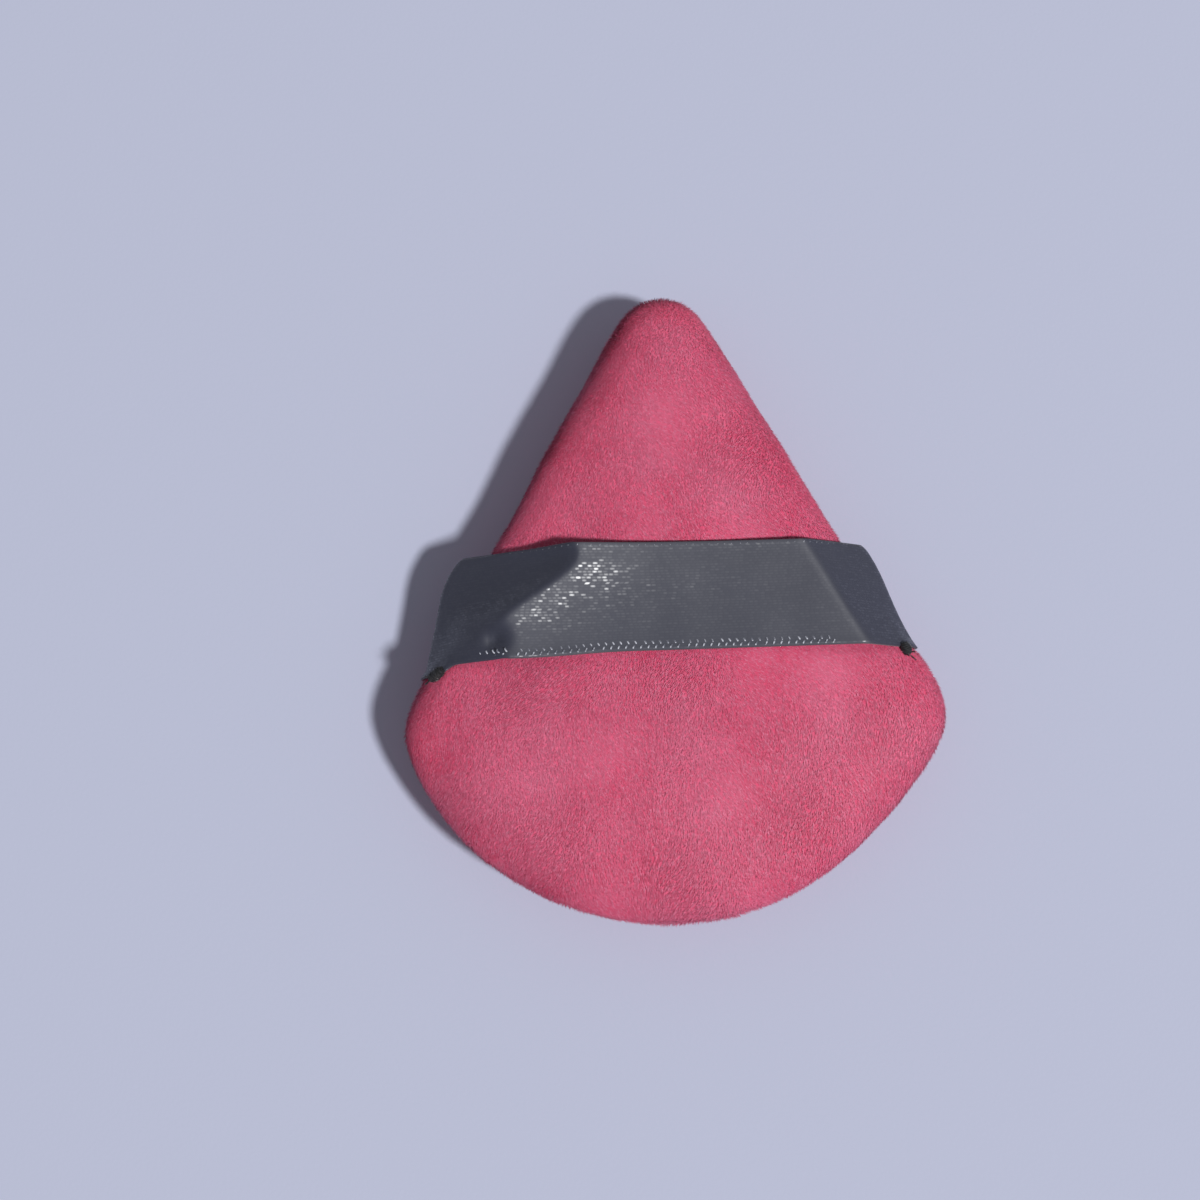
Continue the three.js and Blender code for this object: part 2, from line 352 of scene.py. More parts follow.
def makeFleece():
    # carded polyester wadding: white, matt, tangled fibres that run mostly one way, grey in the hollows
    # between them as painted shade
    material, tree, shader = newMaterial("polyester_wadding", {
        "Roughness": 0.95, "Sheen Weight": 0.4, "Sheen Roughness": 0.6, "Specular IOR Level": 0.2})
    place = addNode(tree, "TexCoord").outputs["Object"]
    carded = addNode(tree, "Mapping", values={
        "Scale": (1 / (2.5 * mm), 1 / (0.4 * mm), 1 / (0.4 * mm))}, links={"Vector": place})
    fibres = addNode(tree, "TexNoise", values={"Scale": 1, "Detail": 5, "Distortion": 1.2},
                     links={"Vector": carded})
    shadeBy(tree, shader, fibres, ("#C8C6C2", "#F4F2EE"), strength=0.8, depth=0.4 * mm)
    return material


velourGround = makeVelourGround()
pileFibre = makePileFibre()
satinRibbon = makeSatin()
# the selvedge thread's pale colour is partly painted highlight, so that the loops glint
selvedgeThread = makeThread("ribbon_selvedge_thread", ("#6A6B77", "#C9CBD5"), 0.3 * mm, 0.25)
tackThread = makeThread("black_sewing_thread", ("#09090C", "#1B1B21"), 0.35 * mm, 0.75)
pinkThread = makeThread("pink_sewing_thread", ("#A84063", "#D4688A"), 0.35 * mm, 0.55)
foam = makeFoam()
fleece = makeFleece()
print("materials made")


# Pad form: the cloth skin, swollen by its filling

padPlan = {
    "inset": 1.7 * mm,  # the cloth starts this far inside the CAD skin, and swells
    "swellLeast": 0.8 * mm,
    "swellMost": 1.4 * mm,
    "voxel": 1.3 * mm,
    "simScale": 10,  # cloth settles better at ten times the size
    "pressure": 4,
    "frames": 20,
    "quality": 4,
    "seamGrip": 0.6,  # how firmly the seam is held meanwhile
    "floorGap": 0.25 * mm,  # pressed pile under the face
    "lumpHeight": 0.25 * mm,  # soft unevenness of a hand-filled pad
    "lumpWidth": 13 * mm,
    "fineLump": (2.3, 0.4),  # finer unevenness: how much closer, and how high, against that
    "strapDent": 0.5 * mm,  # how far the taut strap presses the crown in
    "strapSoftness": 3 * mm,
    "strapFade": 3 * mm,  # over the seam, where it presses fully
    "heart": Vector((0, -6 * mm, 0)),  # the seam and the tacks draw the skin in towards here
    "tackPull": {"left_strap_tack": 1.7 * mm, "right_strap_tack": 1.5 * mm},
    "tackSpread": 6.5 * mm,
    "skew": (0.016, 0.022),  # the soft pad lies a little skewed, above the strap and below it
    "tipSwell": 1.3 * mm,  # the tip is stuffed firmly
    "tipReach": 6 * mm,  # fully, this near its end
    "cornerSwell": 1.5 * mm,  # and so is the right corner
    "cornerPlace": Vector((31 * mm, -12 * mm, 0)),
    "cornerSpread": 10 * mm,
    "grooveDepth": 1.1 * mm,  # the seam pulls the skin in
    "grooveWidth": 1.2 * mm,
    "pucker": 0.5,  # how unevenly it does
    "puckerWidth": 4.5 * mm,
    "seamWaver": 0.2 * mm,
    "waverPlace": Vector((7, 3, 1)),  # elsewhere in the noise than the puckers
    "clothThickness": 0.8 * mm,
    "hem": 2.6 * mm,
    "hemGap": 0.25 * mm,  # half the slot between the two panels, where the strap is sewn in
}


def padHull():
    bm = openMesh(*[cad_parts[name].data for name in ("back_velour_panel", "face_velour_panel")])
    bmesh.ops.delete(bm, geom=bm.faces[:] + bm.edges[:], context="EDGES_FACES")
    bmesh.ops.remove_doubles(bm, verts=bm.verts, dist=0.001 * mm)
    hull = bmesh.ops.convex_hull(bm, input=bm.verts)
    spare = {v for v in hull["geom_interior"] + hull["geom_unused"] if isinstance(v, bmesh.types.BMVert)}
    bmesh.ops.delete(bm, geom=list(spare), context="VERTS")
    bmesh.ops.recalc_face_normals(bm, faces=bm.faces)
    return meshFrom("pad_skin", bm)


def remeshPiece(piece, voxel):
    remesh = piece.modifiers.new("Remesh", "REMESH")
    remesh.mode = "VOXEL"
    remesh.voxel_size = voxel
    applyModifiers(piece)


def swellPad(pad):
    size = padPlan["simScale"]
    pad.data.transform(Matrix.Scale(size, 4))
    remeshPiece(pad, padPlan["voxel"] * size)
    normals = readPoints(pad.data, "normal")
    start = readPoints(pad.data) - normals * padPlan["inset"] * size
    writePoints(pad.data, start)
    swell = np.full((len(start), 1), (padPlan["swellLeast"] + padPlan["swellMost"]) / 2)
    seamRing = np.flatnonzero(abs(start[:, 2] / size - seamLevel) < padPlan["voxel"])
    pad.vertex_groups.new(name="seam").add(seamRing.tolist(), padPlan["seamGrip"], "REPLACE")
    cloth = pad.modifiers.new("Cloth", "CLOTH")
    cloth.settings.quality = padPlan["quality"]
    cloth.settings.use_pressure = True
    cloth.settings.uniform_pressure_force = padPlan["pressure"]
    cloth.settings.effector_weights.gravity = 0
    cloth.settings.vertex_group_mass = "seam"
    for step in range(1, padPlan["frames"] + 1):
        scene.frame_set(step)
    applyModifiers(pad)
    scene.frame_set(1)
    pad.vertex_groups.clear()
    moved = ((readPoints(pad.data) - start) * normals).sum(1, keepdims=True) / size
    print("cloth swelled", (moved.mean() / mm).round(2), "mm on average")
    swell = np.clip(moved, padPlan["swellLeast"], padPlan["swellMost"])
    writePoints(pad.data, start / size + normals * swell)
    rounding = pad.modifiers.new("Subdivision", "SUBSURF")
    rounding.levels = 1
    rounding.render_levels = 1
    applyModifiers(pad)


def strapCover(place):  # 1 under the strap, 0 away from it
    soft = padPlan["strapSoftness"]
    inside = min(place.y - strapLow, strapHigh - place.y)
    above = smoothStep(seamLevel, seamLevel + padPlan["strapFade"], place.z)
    return smoothStep(-soft / 2, soft / 2, inside) * above


def towardsHeart(place):
    way = padPlan["heart"] - place
    way.z = 0
    return way.normalized()


def pressPad(pad):  # unevenness, the dent under the strap, the pull of the tacks, the flat that it lies on
    tacks = [(sum(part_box(name), Vector()) / 2, pull) for name, pull in padPlan["tackPull"].items()]
    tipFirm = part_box("back_velour_panel")[1].y - padPlan["tipReach"]
    closer, lower = padPlan["fineLump"]

    def pressed(place, normal):
        lump = noise.noise(place / padPlan["lumpWidth"]) * padPlan["lumpHeight"]
        lump += noise.noise(place / padPlan["lumpWidth"] * closer) * padPlan["lumpHeight"] * lower
        firm = padPlan["tipSwell"] * smoothStep(strapHigh, tipFirm, place.y)
        new = place + normal * (lump + firm - padPlan["strapDent"] * strapCover(place))
        for tack, pull in tacks:
            near = math.exp(-((place - tack).length / padPlan["tackSpread"]) ** 2)
            new += towardsHeart(place) * pull * near
        corner = (Vector((place.x, place.y, 0)) - padPlan["cornerPlace"]).length / padPlan["cornerSpread"]
        new -= towardsHeart(place) * padPlan["cornerSwell"] * math.exp(-corner * corner)
        new.x += padPlan["skew"][0 if place.y > 0 else 1] * place.y
        new.z = max(new.z, padPlan["floorGap"])
        return new

    movePoints(pad.data, pressed)


def pullSeam(pad):  # the seam draws the skin in, more at some stitches than at others
    def pulled(place, normal):
        pucker = 1 + padPlan["pucker"] * noise.noise(place / padPlan["puckerWidth"])
        waver = padPlan["seamWaver"] * noise.noise(place / padPlan["puckerWidth"] + padPlan["waverPlace"])
        off = (place.z - seamLevel - waver) / padPlan["grooveWidth"]
        return place + towardsHeart(place) * padPlan["grooveDepth"] * pucker * math.exp(-off * off)

    movePoints(pad.data, pulled)


def surfaceTree(mesh):
    bm = openMesh(mesh)
    tree = BVHTree.FromBMesh(bm)
    bm.free()
    return tree


padSkin = linkPiece("pad_skin", padHull(), velourGround)
swellPad(padSkin)
pressPad(padSkin)
roundTree = surfaceTree(padSkin.data)  # the skin before its seam is drawn in
pullSeam(padSkin)
skinTree = surfaceTree(padSkin.data)
print("pad skin has", len(padSkin.data.vertices), "points")


# Velour panels and their pile

pilePlan = {
    "count": 48000,  # fibres in each layer
    "lean": 1.9,  # along the brushing, against 1 straight out
    "leanWaver": 0.5,
    "leanCloser": 1.7,  # than the brushing's swirls
    "droop": 0.2,
    "spread": 0.5,
    "stray": 1.3,  # how far the brushing wanders, in radians
    "strayPlace": Vector((3, 9, 4)),  # elsewhere in the noise than the lean
    "flatness": 0.4,  # of a fibre's section
    "swirl": 11 * mm,  # how far apart the brushing changes its way
    "pressed": 0.5,  # share of the length left where something presses the pile
    "flattened": 0.75,  # how far it lies down there
    "pressHeight": 1.2 * mm,  # over what the pad lies on, where the pile is free
    "growth": (0.7, 1.15),  # shortest and longest fibres
    "rooted": 0.46,  # of a fibre's length, from the cloth to its middle
    "clearance": 0.02 * mm,
    "layers": {  # length, radius at the root, seed
        "back_pile_inner": (0.55 * mm, 0.085 * mm, 11),
        "back_pile_outer": (0.65 * mm, 0.075 * mm, 21),
        "back_pile_fine": (0.55 * mm, 0.07 * mm, 41),
        "face_pile": (0.65 * mm, 0.085 * mm, 31),
    },
}


def combNap(panel):  # which way and how far the pile stands at each point of the skin
    points = panel.data.vertices
    aim = np.zeros((len(points), 3), np.float32)
    reach = np.zeros(len(points), np.float32)
    for i, vert in enumerate(points):
        place = vert.co
        normal = vert.normal
        turn = pilePlan["stray"] * noise.noise(place / pilePlan["swirl"] + pilePlan["strayPlace"])
        brushed = Vector((math.sin(turn), -math.cos(turn), -pilePlan["droop"]))
        brushed -= normal * normal.dot(brushed)
        under = 1 - smoothStep(0, pilePlan["pressHeight"], place.z - padPlan["floorGap"])
        press = max(strapCover(place), under)
        waver = pilePlan["leanWaver"] * noise.noise(place / pilePlan["swirl"] * pilePlan["leanCloser"])
        lean = pilePlan["lean"] * (1 + waver)
        aim[i] = normal * (1 - pilePlan["flattened"] * press) + brushed * lean * (1 + press)
        reach[i] = 1 - (1 - pilePlan["pressed"]) * press
    panel.data.attributes.new("aim", "FLOAT_VECTOR", "POINT").data.foreach_set("vector", aim.ravel())
    panel.data.attributes.new("reach", "FLOAT", "POINT").data.foreach_set("value", reach)


def fibrePattern(length, radius):  # one tapered fibre, four faces, its flat side towards Y
    bm = bmesh.new()
    bmesh.ops.create_cone(bm, cap_ends=True, segments=3, radius1=radius, radius2=0, depth=length)
    bmesh.ops.remove_doubles(bm, verts=bm.verts, dist=0.001 * mm)
    bmesh.ops.rotate(bm, verts=bm.verts, cent=(0, 0, 0), matrix=Matrix.Rotation(math.pi, 3, "Z"))
    bmesh.ops.scale(bm, verts=bm.verts, vec=(1, pilePlan["flatness"], 1))
    bmesh.ops.translate(bm, verts=bm.verts, vec=(0, 0, length * pilePlan["rooted"]))
    return linkPiece("fibre_pattern", meshFrom("fibre_pattern", bm), pileFibre)


def pileTree(fibre, density, seed):
    tree = bpy.data.node_groups.new("grow_pile", "GeometryNodeTree")
    tree.interface.new_socket("Geometry", in_out="INPUT", socket_type="NodeSocketGeometry")
    tree.interface.new_socket("Geometry", in_out="OUTPUT", socket_type="NodeSocketGeometry")
    skin = addNode(tree, "NodeGroupInput").outputs[0]
    roots = addNode(tree, "GeometryNodeDistributePointsOnFaces", {"distribute_method": "RANDOM"},
                    {"Density": density, "Seed": seed}, {"Mesh": skin})
    aim = addNode(tree, "GeometryNodeInputNamedAttribute", {"data_type": "FLOAT_VECTOR"}, {"Name": "aim"})
    reach = addNode(tree, "GeometryNodeInputNamedAttribute", {"data_type": "FLOAT"}, {"Name": "reach"})
    stray = addNode(tree, "FunctionNodeRandomValue", {"data_type": "FLOAT_VECTOR"}, {
        0: (-pilePlan["spread"],) * 3, 1: (pilePlan["spread"],) * 3, "Seed": seed + 1})
    tone = addNode(tree, "FunctionNodeRandomValue", {"data_type": "FLOAT"}, {2: 0, 3: 1, "Seed": seed + 2})
    growth = addNode(tree, "FunctionNodeRandomValue", {"data_type": "FLOAT"}, {
        2: pilePlan["growth"][0], 3: pilePlan["growth"][1], "Seed": seed + 3})
    way = addNode(tree, "VectorMath", "ADD", links={0: aim, 1: stray})
    turned = addNode(tree, "FunctionNodeAlignRotationToVector", {"axis": "Z"}, links={"Vector": way})
    rolled = addNode(tree, "FunctionNodeAlignRotationToVector", {"axis": "Y", "pivot_axis": "Z"},
                     links={"Rotation": turned, "Vector": roots.outputs["Normal"]})
    tall = addNode(tree, "Math", "MULTIPLY", links={0: reach, 1: growth.outputs[1]})
    size = addNode(tree, "CombineXYZ", values={0: 1, 1: 1}, links={2: tall})
    toned = addNode(tree, "GeometryNodeStoreNamedAttribute", {"data_type": "FLOAT", "domain": "POINT"},
                    {"Name": "tone"}, {"Geometry": roots, "Value": tone.outputs[1]})
    combed = addNode(tree, "GeometryNodeStoreNamedAttribute",
                     {"data_type": "FLOAT_VECTOR", "domain": "POINT"}, {"Name": "nap"},
                     {"Geometry": toned, "Value": roots.outputs["Normal"]})
    pattern = addNode(tree, "GeometryNodeObjectInfo", values={"Object": fibre})
    planted = addNode(tree, "GeometryNodeInstanceOnPoints", links={
        "Points": combed, "Instance": pattern.outputs["Geometry"], "Rotation": rolled, "Scale": size})
    real = addNode(tree, "GeometryNodeRealizeInstances", links={"Geometry": planted})
    addNode(tree, "NodeGroupOutput", links={0: real})
    return tree


def layPileMap(mesh, fibre):  # a small cell of the map for each fibre, its root below and its tip above
    corners = len(fibre.vertices)
    tip = max(fibre.vertices, key=lambda vert: vert.co.z).index
    cell = np.array([(0.15, 0.15), (0.85, 0.15), (0.5, 0.4)])
    cell = np.insert(cell, tip, (0.5, 0.9), axis=0)
    across = math.ceil(math.sqrt(len(mesh.vertices) / corners))
    indices = np.empty(len(mesh.loops), np.int32)
    mesh.loops.foreach_get("vertex_index", indices)
    fibreOf = indices // corners
    place = np.stack([fibreOf % across, fibreOf // across], axis=1) + cell[indices % corners]
    uv = mesh.uv_layers.new(name="OFBake")
    uv.data.foreach_set("uv", (place / across).astype(np.float32).ravel())


def softenPile(mesh):  # light scatters in the pile, so a fibre takes the normals of the cloth under it
    nap = np.empty(len(mesh.vertices) * 3, np.float32)
    mesh.attributes["nap"].data.foreach_get("vector", nap)
    nap = nap.reshape(-1, 3)
    mesh.normals_split_custom_set_from_vertices(nap / np.linalg.norm(nap, axis=1, keepdims=True))
    mesh.attributes.remove(mesh.attributes["nap"])


def dropCombing(piece):
    for spare in ("aim", "reach"):
        piece.data.attributes.remove(piece.data.attributes[spare])


def growPile(panel, name):
    length, radius, seed = pilePlan["layers"][name]
    fibre = fibrePattern(length, radius)
    pile = linkPiece(name, panel.data.copy(), pileFibre)
    area = sum(face.area for face in panel.data.polygons)
    pile.modifiers.new("Pile", "NODES").node_group = pileTree(fibre, pilePlan["count"] / area, seed)
    applyModifiers(pile)
    points = readPoints(pile.data)
    points[:, 2] = np.maximum(points[:, 2], pilePlan["clearance"])  # all over what the pad lies on
    writePoints(pile.data, points)
    softenPile(pile.data)
    dropCombing(pile)
    giveMaterial(pile.data, pileFibre)
    layPileMap(pile.data, fibre.data)
    bpy.data.objects.remove(fibre)
    print(name, "has", len(pile.data.polygons), "faces")
    return pile


def cutPanel(name, side):  # side 1 is the back above the seam, side -1 the face below it
    bm = openMesh(padSkin.data)
    bmesh.ops.bisect_plane(bm, geom=bm.verts[:] + bm.edges[:] + bm.faces[:],
                           plane_co=(0, 0, seamLevel + side * padPlan["hemGap"]),
                           plane_no=(0, 0, side), clear_inner=True)
    panel = linkPiece(name, meshFrom(name, bm), velourGround)
    combNap(panel)
    return panel


def hemPanel(panel):  # the cut edge turns in, and the skin gets its thickness
    dropCombing(panel)
    bm = openMesh(panel.data)
    rim = [edge for edge in bm.edges if edge.is_boundary]
    turned = bmesh.ops.extrude_edge_only(bm, edges=rim)["geom"]
    for vert in turned:
        if isinstance(vert, bmesh.types.BMVert):
            vert.co += towardsHeart(vert.co) * padPlan["hem"]
    bmesh.ops.recalc_face_normals(bm, faces=bm.faces)
    bm.to_mesh(panel.data)
    bm.free()
    thicken(panel, padPlan["clothThickness"], -1)


backVelour = cutPanel("back_velour", 1)
faceVelour = cutPanel("face_velour", -1)
backPiles = [growPile(backVelour, name) for name in pilePlan["layers"] if name.startswith("back")]
facePile = growPile(faceVelour, "face_pile")
hemPanel(backVelour)
hemPanel(faceVelour)
bpy.data.objects.remove(padSkin)


# Filling: the foam core between two layers of wadding, all inside the skin

fillPlan = {  # CAD node, material, voxel, unevenness and its width
    "foam_filling": ("foam_core", foam, 0.9 * mm, 0.06 * mm, 0.8 * mm),
    "face_fleece": ("face_wadding", fleece, 0.8 * mm, 0.15 * mm, 2.5 * mm),
    "back_fleece": ("back_wadding", fleece, 0.8 * mm, 0.15 * mm, 2.5 * mm),
}
fillGap = 0.2 * mm


def fillPad(name):
    node, material, voxel, lump, lumpWidth = fillPlan[name]
    bm = openMesh(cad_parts[node].data)
    bmesh.ops.remove_doubles(bm, verts=bm.verts, dist=0.001 * mm)
    piece = linkPiece(name, meshFrom(name, bm), material)
    remeshPiece(piece, voxel)
    least = padPlan["clothThickness"] + fillGap

    def settled(place, normal):
        hit, outward, face, far = skinTree.find_nearest(place)
        spare = (hit - place).dot(outward) - least
        sunk = lump * (0.5 + noise.noise(place / lumpWidth))
        return place - normal * sunk + outward * min(spare, 0)

    movePoints(piece.data, settled)
    giveMaterial(piece.data, material)
    piece.data.shade_smooth()
    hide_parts(node)
    return piece


filling = {name: fillPad(name) for name in fillPlan}
print("filling made")


# Finger strap

strapPlan = {
    "thickness": 0.35 * mm,
    "rest": 0.2 * mm,  # pressed pile between the skin and the ribbon
    "along": 240,
    "across": 36,
    "tuck": 2.6 * mm,  # sewn into the side seam
    "overhang": {-1: 3.0 * mm, 1: 1.8 * mm},  # upper corners past the slanting seam, left and right
    "flareFrom": {-1: -0.5 * mm, 1: 2 * mm},  # where it begins, above the lower edge
    "flareTo": {-1: 1 * mm, 1: 0},  # where it is full, below the upper edge
    "cornerRound": 0.8 * mm,
    "cornerLoss": 0.12,  # share of the overhang that the rounding takes
    "cornerDraw": 1.3 * mm,  # the lower left corner is drawn down along the rim to its tack
    "cornerSlip": 0.5,  # how far it also goes outwards, against that
    "slipBand": (20 * mm, 28 * mm),
    "drawReach": 3.9 * mm,
    "tabWidth": 1.7 * mm,  # all of which is drawn down
    "edgeSag": 0.6 * mm,  # of the lower edge, towards the left
    "sagBand": (0.15, 0.65),  # of the way to the side, where it begins and where it is full
    "foldHeight": 1.6 * mm,  # of the turn at the side, above the seam
    "foldRadius": 0.5 * mm,
    "foldInset": 0.2 * mm,
    "foldUnder": 0.55,  # of its height, where it has turned under
    "flareLift": 0.25,  # how much it rises where it flares
    "clearFrom": 0.4,  # of its height, above which the ribbon stays out of the pad
    "seamInset": 0.9 * mm,  # where it goes into the seam
    "seamLift": 0.05 * mm,
    "ripple": 0.07 * mm,
    "rippleWidth": 5 * mm,
    # left and right: y and x of points on a crease
    "creases": {
        -1: ((6.8 * mm, -11.5 * mm), (0.4 * mm, -17.4 * mm), (-2.5 * mm, -21.3 * mm), (-6.2 * mm, -20 * mm)),
        1: ((6.8 * mm, 16.9 * mm), (-6.2 * mm, 24.2 * mm)),
    },
    "ridge": 2.7 * mm,  # along the left crease, where the ribbon buckles
    "ridgeInner": 7.5 * mm,  # its run-out to the middle
    "ridgeOuter": 5 * mm,  # and to the side
    "ridgeRound": 0.6 * mm,
    "ridgeRise": 0.3,  # how much higher it stands at the upper edge than at the lower one
    "ridgeSlant": 0.75,  # the way across it, against the way along the ribbon
    # pinched above the left tack
    "dent": {"x": -21.5 * mm, "y": -3.8 * mm, "depth": 1.6 * mm, "radius": 1.5 * mm},
    "liftFade": (1.5 * mm, 5 * mm),  # over the seam, where creases begin and where they are full
    "heldHeight": 0.5 * mm,  # over the seam, below which nothing lifts with the strap
    "sectionArc": (172, 8),  # degrees of the pad's section that carry it, left to right
    "sectionSteps": 165,
    "fine": 600,  # points along a row while its folds are rounded
}


def skinPoint(y, angle):  # on the pad's section across the strap, seen from its middle
    way = Vector((math.cos(angle), 0, math.sin(angle)))
    hit, normal, index, far = roundTree.ray_cast(Vector((0, y, seamLevel)), way)
    return hit + normal * (strapPlan["rest"] + strapPlan["thickness"] / 2)


def tautLine(points):  # the upper hull of a section, left to right: a ribbon pulled over it
    line = []
    for point in sorted(points):
        while len(line) > 1 and (
                (line[-1][0] - line[-2][0]) * (point[1] - line[-2][1])
                >= (line[-1][1] - line[-2][1]) * (point[0] - line[-2][0])):
            line.pop()
        line.append(point)
    return line


def resample(line, count):
    line = np.array(line)
    steps = np.concatenate([[0], np.cumsum(np.linalg.norm(np.diff(line, axis=0), axis=1))])
    places = np.linspace(0, steps[-1], count)
    return np.stack([np.interp(places, steps, line[:, k]) for k in (0, 1)], axis=1), steps[-1]


def roundFolds(line, reach):
    kernel = np.ones(2 * reach + 1) / (2 * reach + 1)
    for turn in range(3):
        padded = np.pad(line, ((reach, reach), (0, 0)), mode="edge")
        line = np.stack([np.convolve(padded[:, k], kernel, mode="valid") for k in (0, 1)], axis=1)
    return line


def ribbonEnd(y, side):  # the fold at the side, and the way from there into the seam
    edge = abs(skinPoint(y, math.pi if side < 0 else 0).x)
    corner = smoothStep(strapHigh - strapPlan["cornerRound"], strapHigh, y) ** 2
    flare = smoothStep(strapLow + strapPlan["flareFrom"][side], strapHigh - strapPlan["flareTo"][side], y)
    flare *= strapPlan["overhang"][side] * (1 - strapPlan["cornerLoss"] * corner)
    height = strapPlan["foldHeight"]
    sewn = edge - strapPlan["seamInset"]
    fold = (side * (edge + flare), seamLevel + height + strapPlan["flareLift"] * flare)
    tuck = [(side * (edge + flare - strapPlan["foldInset"]), seamLevel + height * strapPlan["foldUnder"]),
            (side * sewn, seamLevel + strapPlan["seamLift"]),
            (side * (sewn - strapPlan["tuck"]), seamLevel)]
    return fold, tuck


def creasePlace(side, y):  # a smooth curve through the points of the crease
    ys, xs = zip(*strapPlan["creases"][side])
    return float(np.polyval(np.polyfit(ys, xs, len(ys) - 1), y))


def ribbonRow(y):  # x and z from the left tuck to the right one
    degrees = np.linspace(*strapPlan["sectionArc"], strapPlan["sectionSteps"])
    section = [skinPoint(y, math.radians(degree)) for degree in degrees]
    leftFold, leftTuck = ribbonEnd(y, -1)
    rightFold, rightTuck = ribbonEnd(y, 1)
    top = max(point.z for point in section)
    bridged = [(creasePlace(side, y), top) for side in (-1, 1)]  # stiff between its creases
    over = tautLine([(point.x, point.z) for point in section] + bridged + [leftFold, rightFold])
    fine, length = resample(leftTuck[::-1] + over + rightTuck, strapPlan["fine"])
    reach = max(1, round(strapPlan["foldRadius"] * strapPlan["fine"] / length))
    return resample(roundFolds(fine, reach), strapPlan["along"] + 1)


def creaseLift(x, y):  # the ridge along the left crease, and the dent beside it
    off = (creasePlace(-1, y) - x) * strapPlan["ridgeSlant"]
    run = strapPlan["ridgeOuter"] if off > 0 else strapPlan["ridgeInner"]
    high = strapPlan["ridge"] * (1 + strapPlan["ridgeRise"] * (y - strapMiddle) / (strapHigh - strapLow))
    lift = high * math.exp(-math.hypot(off, strapPlan["ridgeRound"]) / run)
    dent = strapPlan["dent"]
    far = math.hypot(x - dent["x"], y - dent["y"]) / dent["radius"]
    return lift - dent["depth"] * math.exp(-far * far)


def cornerDraw(x, y):  # how far the ribbon's left is drawn down
    fold = -ribbonEnd(strapLow, -1)[0][0]
    low = 1 - smoothStep(strapLow, strapMiddle, y)
    near = smoothStep(fold - strapPlan["drawReach"], fold - strapPlan["tabWidth"], -x)
    begin, full = strapPlan["sagBand"]
    sag = strapPlan["edgeSag"] * smoothStep(fold * begin, fold * full, -x)
    return (strapPlan["cornerDraw"] * near + sag) * low


def clearSkin(place):  # where the pad would hide the ribbon, it comes out to the skin
    hit, outward, face, far = roundTree.find_nearest(place)
    short = strapPlan["rest"] + strapPlan["thickness"] / 2 - (place - hit).dot(outward)
    return place + outward * max(short, 0)


def aboveFolds(line):
    return [k for k, place in enumerate(line) if place.z > seamLevel + strapPlan["foldHeight"]]


def ribbonPoints():  # rows of points along the ribbon, and how far along it each lies from the crown
    rows = []
    fade = [seamLevel + height for height in strapPlan["liftFade"]]
    clear = seamLevel + strapPlan["foldHeight"] * strapPlan["clearFrom"]
    for y in np.linspace(strapLow, strapHigh, strapPlan["across"] + 1):
        row, length = ribbonRow(y)
        line = []
        for x, z in row:
            lift = creaseLift(x, y) * smoothStep(*fade, z)
            lift += strapPlan["ripple"] * noise.noise(Vector((x, y, z)) / strapPlan["rippleWidth"])
            draw = cornerDraw(x, y)
            slip = draw * strapPlan["cornerSlip"] * smoothStep(*strapPlan["slipBand"], -x)
            place = Vector((x - slip, y - draw, z + lift))
            line.append(clearSkin(place) if z > clear else place)
        crown = min(aboveFolds(line), key=lambda k: abs(line[k].x))
        rows.append((line, [(k - crown) * length / strapPlan["along"] for k in range(len(line))], length))
    return rows


def layRibbon(rows):
    across = strapPlan["across"]
    along = strapPlan["along"]
    bm = bmesh.new()
    bmesh.ops.create_grid(bm, x_segments=along, y_segments=across, size=0.5)
    weave = bm.loops.layers.uv.new("weave")
    cells = {vert: (round((vert.co.y + 0.5) * across), round((vert.co.x + 0.5) * along))
             for vert in bm.verts}
    for vert, (j, i) in cells.items():
        vert.co = rows[j][0][i]
    for face in bm.faces:
        for loop in face.loops:
            j, i = cells[loop.vert]
            loop[weave].uv = (rows[j][1][i], loop.vert.co.y - strapLow)
    ribbon = linkPiece("strap_ribbon", meshFrom("strap_ribbon", bm), satinRibbon)
    thicken(ribbon, strapPlan["thickness"], 0)
    return ribbon


ribbonRows = ribbonPoints()
strap = layRibbon(ribbonRows)


# Woven edges of the ribbon: staggered rows of small loops

selvedgePlan = {
    "pitch": 0.95 * mm,
    "lowerRows": ((0.4 * mm, 0), (1.0 * mm, 0)),  # how far from the ribbon's edge, and how deep in the weave
    "upperRows": ((0.4 * mm, 0.12 * mm),),
    "span": 0.42 * mm,
    "threadRadius": 0.12 * mm,
    "slant": 62,
    "loopHeight": 0.6,  # against a round one
    "loopSunk": 0.5,  # of the thread's radius
    "flapSunk": 0.14 * mm,  # deeper in the weave on the slanting ends
    "flat": (-19 * mm, 20.5 * mm),  # the stretch between those
}


def loopPattern():  # a thread that rises out of the weave and goes back in
    radius = selvedgePlan["threadRadius"]
    half = selvedgePlan["span"] / 2
    bm = bmesh.new()
    bmesh.ops.create_circle(bm, cap_ends=False, segments=5, radius=radius,
                            matrix=Matrix.Translation((half, 0, 0)))
    bmesh.ops.spin(bm, geom=bm.verts[:] + bm.edges[:], cent=(0, 0, 0), axis=(0, -1, 0), dvec=(0, 0, 0),
                   angle=math.pi, steps=5, use_merge=False, use_duplicate=False)
    bmesh.ops.holes_fill(bm, edges=[edge for edge in bm.edges if edge.is_boundary], sides=5)
    bmesh.ops.recalc_face_normals(bm, faces=bm.faces)
    bmesh.ops.scale(bm, vec=(1, 1, selvedgePlan["loopHeight"]), verts=bm.verts)
    bmesh.ops.translate(bm, vec=(0, 0, -radius * selvedgePlan["loopSunk"]), verts=bm.verts)
    return meshFrom("loop_pattern", bm)


